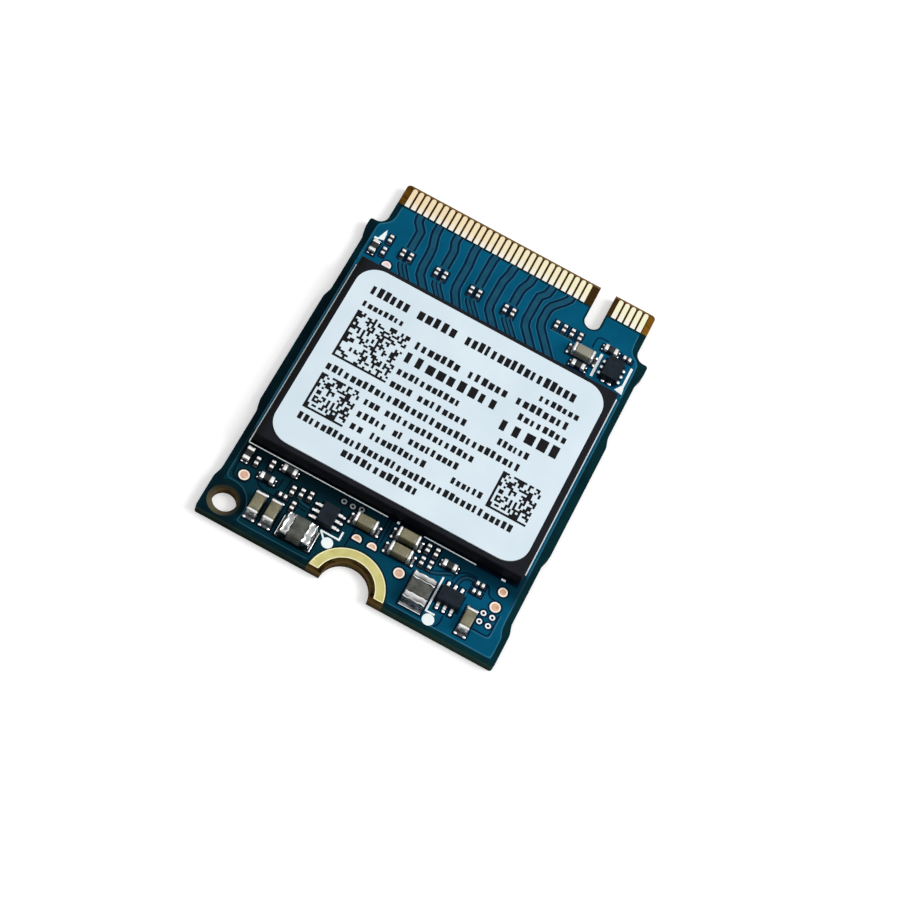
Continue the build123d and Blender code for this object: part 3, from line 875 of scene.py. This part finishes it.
def ringRims():
    low, high = boxOf("screw_pad_top")
    corners = [vertex.co / mm for vertex in nodes["screw_pad_top"].data.vertices]
    inner = min(math.hypot(corner.x, corner.y - screwEnd) for corner in corners) + rims["width"] / 2
    outer = high.x - rims["width"] / 2
    start = low.y + rims["width"] / 2
    tracks = []
    arcs = []
    for radius in (outer, inner):
        arcs.append(arcOver(0, screwEnd, radius, start, rims["steps"]))
        tracks.append(layTrack("rim", arcs[-1], rims["width"], high.z, high.z + rims["rise"]))
    for i in (0, -1):
        top = high.z + rims["rise"] + rims["step"]
        tracks.append(layTrack("rimEnd", [arcs[0][i], arcs[1][i]], rims["width"], high.z, top))
    return tracks


def padRims():
    rings = []
    for low, high in islandBoxes("probe_pads"):
        ring = drawSheet("padRimPaintedHighlight", padOutline(low, high, 0), high.z, high.z + rims["rise"])
        middle = padOutline(low, high, -rims["padWidth"])
        rings.append(cutAway(ring, [drawSheet("padBare", middle, cardTop, high.z + rims["through"])]))
    return rings


screwPadRim = joinPieces("screw_pad_rim", ringRims())
finishPiece(roundEdges(screwPadRim, rims["soft"]), goldRimPaintedHighlight)
finishPiece(joinPieces("probe_pad_rims", padRims()), padRimPaintedHighlight)
print("rims laid")


# white ink marks beside the parts

ink = dict(
    low=0.02, high=0.036, step=0.001, soft=0.004,  # each mark stands a step above the one before it
    thin=0.08, bold=0.13, dotSides=40,
    thinLines=[
        [(-10.15, 5.95), (0.3, 5.95)], [(3.0, 5.95), (6.9, 5.95)],
        [(10.1, 7.0), (10.1, 22.4)], [(-10.15, 6.0), (-10.15, 22.0)],
    ],
    boldLines=[
        [(-3.15, 2.75), (-1.78, 2.75), (-1.78, 3.4)], [(-3.1, 2.72), (-2.7, 2.3)],
        [(5.4, 4.0), (5.4, 1.28), (6.05, 1.28)],
    ],
    bars=[((7.66, 23.1), (7.86, 25.1)), ((-10.08, 24.6), (-9.75, 24.78)), ((8.8, 5.83), (9.12, 5.98))],
    dots=[(1.08, 5.93, 0.1), (-2.35, 2.15, 0.4), (5.8, 0.77, 0.42)],
    wedges=[
        [(9.62, 23.02), (10.25, 22.9), (10.2, 23.3), (10.16, 23.45), (10.16, 25.2), (9.98, 25.2),
         (9.98, 23.6)],
        [(-9.85, 24.68), (-9.38, 24.8), (-9.42, 25.3), (-9.53, 25.7), (-9.64, 25.4)],
    ],
)


def printInk():
    low = cardTop + ink["low"]
    marks = []

    def top():
        return cardTop + ink["high"] + ink["step"] * len(marks)

    for width, lines in ((ink["thin"], ink["thinLines"]), (ink["bold"], ink["boldLines"])):
        for line in lines:
            marks.append(layTrack("inkLine", fromScrewEnd(line), width, low, top()))
    for corners in ink["bars"]:
        marks.append(addBar("inkBar", corners, low, top()))
    for x, y, radius in ink["dots"]:
        marks.append(addDisc("inkDot", x, screwEnd + y, radius, low, top(), ink["dotSides"]))
    for corners in ink["wedges"]:
        marks.append(drawSheet("inkWedge", fromScrewEnd(corners), low, top()))
    return joinPieces("ink_marks", marks)


finishPiece(roundEdges(printInk(), ink["soft"]), whiteInk)
print("ink printed")


# solder: a hollow-faced fillet at the outer side of every chip end and lead, and beads at the pads' corners

fillet = dict(
    rise=0.5, rises=dict(large_capacitor=0.28, inductor=0.75),  # share of the end's height
    narrow=0.92, spare=0.94, curve=0.14, bite=0.93, segments=6)
beadForms = dict(  # for a start of the node's name: along the toe, across it, height, share of the toe, sides
    large_capacitor=(0.26, 0.32, 0.16, 0.86, (-0.40, 0.40)),
    medium_chip=(0.16, 0.20, 0.11, 0.8, (-0.36, 0.36)),
    converter=(0.34, 0.30, 0.14, 0.55, (0,)))
lipForm = dict(along=0.10, height=0.08, reach=0.88, share=0.98, soft=0.036)  # edge of an inductor's solder
switchBead = dict(radius=0.19, height=0.12)


def makeFilletShape():  # block of unit size whose far upper edge is hollowed out
    wedge = addBlock("filletShape", (0, -0.5, 0), (1, 0.5, 1))
    dropSelection(wedge)
    for edge in wedge.data.edges:
        ends = [wedge.data.vertices[i].co for i in edge.vertices]
        edge.select = all(end.x > 0.5 and end.z > 0.5 for end in ends)
    bpy.ops.object.mode_set(mode="EDIT")
    bpy.ops.mesh.select_mode(type="EDGE")
    bpy.ops.mesh.bevel(
        offset=fillet["bite"], segments=fillet["segments"], profile=fillet["curve"], affect="EDGES")
    endEdit()
    return wedge


def formsFor(nodeName, table):
    return [form for start, form in table.items() if nodeName.startswith(start)]


def toesOf(endLow, endHigh, padLow, padHigh):  # how far the pad shows on each side of a chip's end
    return {0: padHigh.x - endHigh.x, 90: padHigh.y - endHigh.y,
            180: endLow.x - padLow.x, 270: endLow.y - padLow.y}


def spanAt(place, way, along, across, height):  # box on a pad, lined up with the chip's end
    half = Vector((abs(way.x) * along + abs(way.y) * across, abs(way.y) * along + abs(way.x) * across, 0)) / 2
    return place - half, place + half + Vector((0, 0, height))


def solderEnd(nodeName, endLow, endHigh, padLow, padHigh):  # fillet, beads and lip of one end on its pad
    onTerminal = nodeName.endswith("_terminals")
    toes = toesOf(endLow, endHigh, padLow, padHigh)
    turn = max(toes, key=toes.get)
    toe = toes[turn]
    long, wide = (endHigh - endLow).x, (endHigh - endLow).y
    if turn in (90, 270):
        long, wide = wide, long
    way = Vector((round(math.cos(math.radians(turn))), round(math.sin(math.radians(turn))), 0))
    across = Vector((-way.y, way.x, 0))
    middle = (endLow + endHigh) / 2
    start = Vector((middle.x, middle.y, padHigh.z)) + way * long / 2
    rise = (formsFor(nodeName, fillet["rises"]) + [fillet["rise"]])[0]
    size = (toe * fillet["spare"], wide * fillet["narrow"], (endHigh.z - endLow.z) * rise)
    wedge = copyOf(filletShape)
    wedge.data.transform(Matrix.LocRotScale(start, Matrix.Rotation(math.radians(turn), 3, "Z"), size))
    (terminalFillets if onTerminal else fillets).append(wedge)
    for length, width, height, reach, sides in formsFor(nodeName, beadForms):
        for side in sides:
            place = start + way * toe * reach + across * side * wide
            cornerBeads.append(addDrop("bead", *spanAt(place, way, length, width, height)))
    if onTerminal:
        place = start + way * toe * lipForm["reach"]
        span = spanAt(place, way, lipForm["along"], wide * lipForm["share"], lipForm["height"])
        cornerBeads.append(roundEdges(addBlock("lip", *span), lipForm["soft"], segments=3))


filletShape = makeFilletShape()
padBoxes = islandBoxes("solder_pads")
fillets = []
terminalFillets = []
cornerBeads = []
for nodeName in sorted(nodes):
    if nodeName.endswith(("_ends", "_terminals", "_leads")):
        for endLow, endHigh in islandBoxes(nodeName):
            middle = (endLow + endHigh) / 2
            for padLow, padHigh in padBoxes:
                if padLow.x < middle.x < padHigh.x and padLow.y < middle.y < padHigh.y:
                    solderEnd(nodeName, endLow, endHigh, padLow, padHigh)
bpy.data.objects.remove(filletShape)
finishPiece(joinPieces("solder_fillets", fillets), solderPaintedShade, roundAngle)
finishPiece(joinPieces("terminal_fillets", terminalFillets), terminalSlopePaintedShade, roundAngle)

switchLow, switchHigh = boxOf("power_switch_body")
for low, high in islandBoxes("power_switch_pads"):  # beads stand at the outer ends of the switch's pads
    x, y = (low.x + high.x) / 2, (low.y + high.y) / 2
    x = low.x if low.x < switchLow.x else high.x if high.x > switchHigh.x else x
    y = low.y if low.y < switchLow.y else high.y if high.y > switchHigh.y else y
    half = Vector((switchBead["radius"], switchBead["radius"], 0))
    spot = Vector((x, y, cardTop))
    rise = Vector((0, 0, high.z - cardTop + switchBead["height"]))
    cornerBeads.append(addDrop("bead", spot - half, spot + half + rise))
finishPiece(joinPieces("solder_beads", cornerBeads), solderShine, roundAngle)
print("solder flowed")


# label print: rows of plain blocks and squares of scattered cells, placed from the label's left and top edges

labelPrint = dict(
    low=-0.002, high=0.006, blockShare=0.84, inkShare=0.74, darkCells=52,
    rows=[  # top, height, [(start, end, letter width)]
        (1.21, 0.95, [(1.3, 4.3, 0.5), (4.9, 8.0, 0.62), (8.6, 17.2, 0.52)]),
        (2.72, 0.55, [(1.25, 4.5, 0.42)]), (2.66, 0.6, [(14.9, 18.0, 0.45)]),
        (3.60, 0.75, [(5.8, 9.3, 0.52), (9.9, 13.0, 0.52), (13.6, 17.7, 0.52)]),
        (4.64, 1.0, [(5.6, 12.9, 0.8)]), (4.70, 0.65, [(14.2, 18.0, 0.46)]),
        (6.08, 0.65, [(5.6, 10.5, 0.46)]), (5.60, 1.15, [(13.4, 18.15, 0.9)]),
        (7.17, 0.65, [(5.6, 7.3, 0.46), (7.7, 11.5, 0.46), (13.8, 16.2, 0.4)]),
        (8.26, 0.7, [(1.3, 16.1, 0.46)]),
        (9.35, 0.65, [(4.7, 5.9, 0.44), (6.3, 13.1, 0.44)]),
        (10.40, 0.65, [(4.7, 7.0, 0.44), (7.4, 8.2, 0.44), (8.6, 12.4, 0.44)]),
        (11.43, 0.65, [(4.7, 5.8, 0.44), (6.2, 10.4, 0.44)]), (11.5, 0.6, [(12.3, 14.7, 0.4)]),
        (12.58, 0.68, [(1.35, 17.5, 0.44)]),
        (13.50, 0.72, [(5.1, 10.9, 0.5)]),
    ],
    widths=(1.0, 0.82, 0.95, 0.7, 1.0, 0.88, 0.6), heights=(1.0, 0.86, 0.86, 1.0, 0.86),
    squares=[(1.2, 3.65, 4.08, 24), (1.28, 9.25, 3.0, 18), (15.07, 9.3, 3.0, 18)],  # left, top, size, cells
)


def printBlocks():
    low, high = labelHigh.z + labelPrint["low"], labelHigh.z + labelPrint["high"]
    widths, heights = labelPrint["widths"], labelPrint["heights"]
    stamp = addBlock("stamp", (0, 0, 0), (1, 1, 1))
    blocks = []
    count = 0
    for top, height, words in labelPrint["rows"]:
        for start, end, pitch in words:
            letters = round((end - start) / pitch)
            for i in range(letters):
                count += 1
                wide = pitch * labelPrint["inkShare"] * widths[(count * 3 + i) % len(widths)]
                tall = height * labelPrint["blockShare"] * heights[(count * 2 + i) % len(heights)]
                left = labelLow.x + start + i * (end - start) / letters
                bottom = labelHigh.y - top - height * (1 + labelPrint["blockShare"]) / 2
                corner = Vector((left, bottom, low))
                block = copyOf(stamp)
                block.data.transform(Matrix.LocRotScale(corner, None, (wide, tall, high - low)))
                blocks.append(block)
    bpy.data.objects.remove(stamp)
    return blocks


def scatter(i, j, seed):  # a made-up number from 0 to 99 for each cell
    mixed = (i * 374761393 + j * 668265263 + seed) & 0xffffffff
    mixed = ((mixed ^ (mixed >> 13)) * 1274126177) & 0xffffffff
    return (mixed >> 16) % 100


def printSquare(left, top, size, cells):
    low, high = labelHigh.z + labelPrint["low"], labelHigh.z + labelPrint["high"]
    pickNone()
    middle = (labelLow.x + left + size / 2, labelHigh.y - top - size / 2, low)
    bpy.ops.mesh.primitive_grid_add(x_subdivisions=cells, y_subdivisions=cells, size=size, location=middle)
    square = settle("square")
    dropSelection(square)
    for face in square.data.polygons:
        i = int((face.center.x - middle[0] + size / 2) / size * cells)
        j = int((face.center.y - middle[1] + size / 2) / size * cells)
        face.select = not (i == 0 or j == 0 or scatter(i, j, cells) < labelPrint["darkCells"])
    bpy.ops.object.mode_set(mode="EDIT")
    bpy.ops.mesh.select_mode(type="FACE")
    bpy.ops.mesh.delete(type="FACE")
    bpy.ops.mesh.select_all(action="SELECT")
    bpy.ops.mesh.extrude_region_move(TRANSFORM_OT_translate={"value": (0, 0, high - low)})
    bpy.ops.mesh.select_all(action="SELECT")
    bpy.ops.mesh.normals_make_consistent(inside=False)
    endEdit()
    return square


labelMarks = printBlocks() + [printSquare(*square) for square in labelPrint["squares"]]
finishPiece(joinPieces("label_print", labelMarks), labelInk)
print("label printed")


# floor, light and camera

stageLook = dict(
    floorSize=12.0, floorDrop=0.00002, floorShade=0.78, floorRough=0.9, floorGloss=0.1, floorGlow=0.32,
    skyLow=0.08, skyHigh=1.1, skyStart=0.3, skyEnd=0.95,  # the sky brightens from the horizon upwards
)


def makeFloor():
    pickNone()
    bpy.ops.mesh.primitive_plane_add(size=stageLook["floorSize"], location=(0, 0, -stageLook["floorDrop"]))
    floor = bpy.context.object
    floor.name = "floor"
    paper = bpy.data.materials.new("paperFloor")
    paper.use_nodes = True
    tree = paper.node_tree
    shader = tree.nodes["Principled BSDF"]
    shade = stageLook["floorShade"]
    setSockets(shader, {"Base Color": (shade, shade, shade, 1), "Emission Color": (1, 1, 1, 1)})
    setSockets(shader, {"Roughness": stageLook["floorRough"], "Specular IOR Level": stageLook["floorGloss"]})
    path = tree.nodes.new("ShaderNodeLightPath")
    seen = mathOf(tree, "MAXIMUM", path.outputs["Is Camera Ray"], path.outputs["Is Glossy Ray"])
    seen = mathOf(tree, "MAXIMUM", seen, path.outputs["Is Transmission Ray"])
    tree.links.new(mathOf(tree, "MULTIPLY", seen, stageLook["floorGlow"]), shader.inputs["Emission Strength"])
    floor.data.materials.append(paper)


def makeWorld():
    world = bpy.data.worlds.new("studio")
    bpy.context.scene.world = world
    world.use_nodes = True
    tree = world.node_tree
    back = tree.nodes["Background"]
    back.inputs["Color"].default_value = (1, 1, 1, 1)
    way = tree.nodes.new("ShaderNodeTexCoord")
    split = tree.nodes.new("ShaderNodeSeparateXYZ")
    tree.links.new(way.outputs["Generated"], split.inputs["Vector"])
    sky = ranged(tree, split.outputs["Z"], stageLook["skyStart"], stageLook["skyEnd"],
                 stageLook["skyLow"], stageLook["skyHigh"])
    tree.links.new(sky, back.inputs["Strength"])


lamp = dict(place=(0.24, 0.06, 0.26), size=0.16, watts=0.7)  # in metres, aimed at the origin


def addLamp():
    light = bpy.data.lights.new("windowLight", "AREA")
    light.energy = lamp["watts"]
    light.size = lamp["size"]
    holder = addObject("windowLight", light)
    holder.location = lamp["place"]
    holder.rotation_euler = (-holder.location).to_track_quat("-Z", "Y").to_euler()


view = dict(  # place, target, lens and sensor in millimetres, roll in degrees
    place=(4.56, -84.12, 147.73), target=(1.72, -2.36, 0.8), roll=26.71, lens=100.05, sensor=36, nearest=10)


def addCamera():
    camera = bpy.data.cameras.new("camera")
    camera.lens = view["lens"]
    camera.sensor_width = view["sensor"]
    camera.clip_start = view["nearest"] * mm
    holder = addObject("camera", camera)
    holder.location = Vector(view["place"]) * mm
    look = (Vector(view["target"]) - Vector(view["place"])).to_track_quat("-Z", "Y")
    holder.rotation_mode = "QUATERNION"
    holder.rotation_quaternion = look @ Quaternion((0, 0, 1), math.radians(view["roll"]))
    bpy.context.scene.camera = holder


makeFloor()
makeWorld()
addLamp()
addCamera()
bpy.context.scene.view_settings.view_transform = "Standard"
print("stage set")
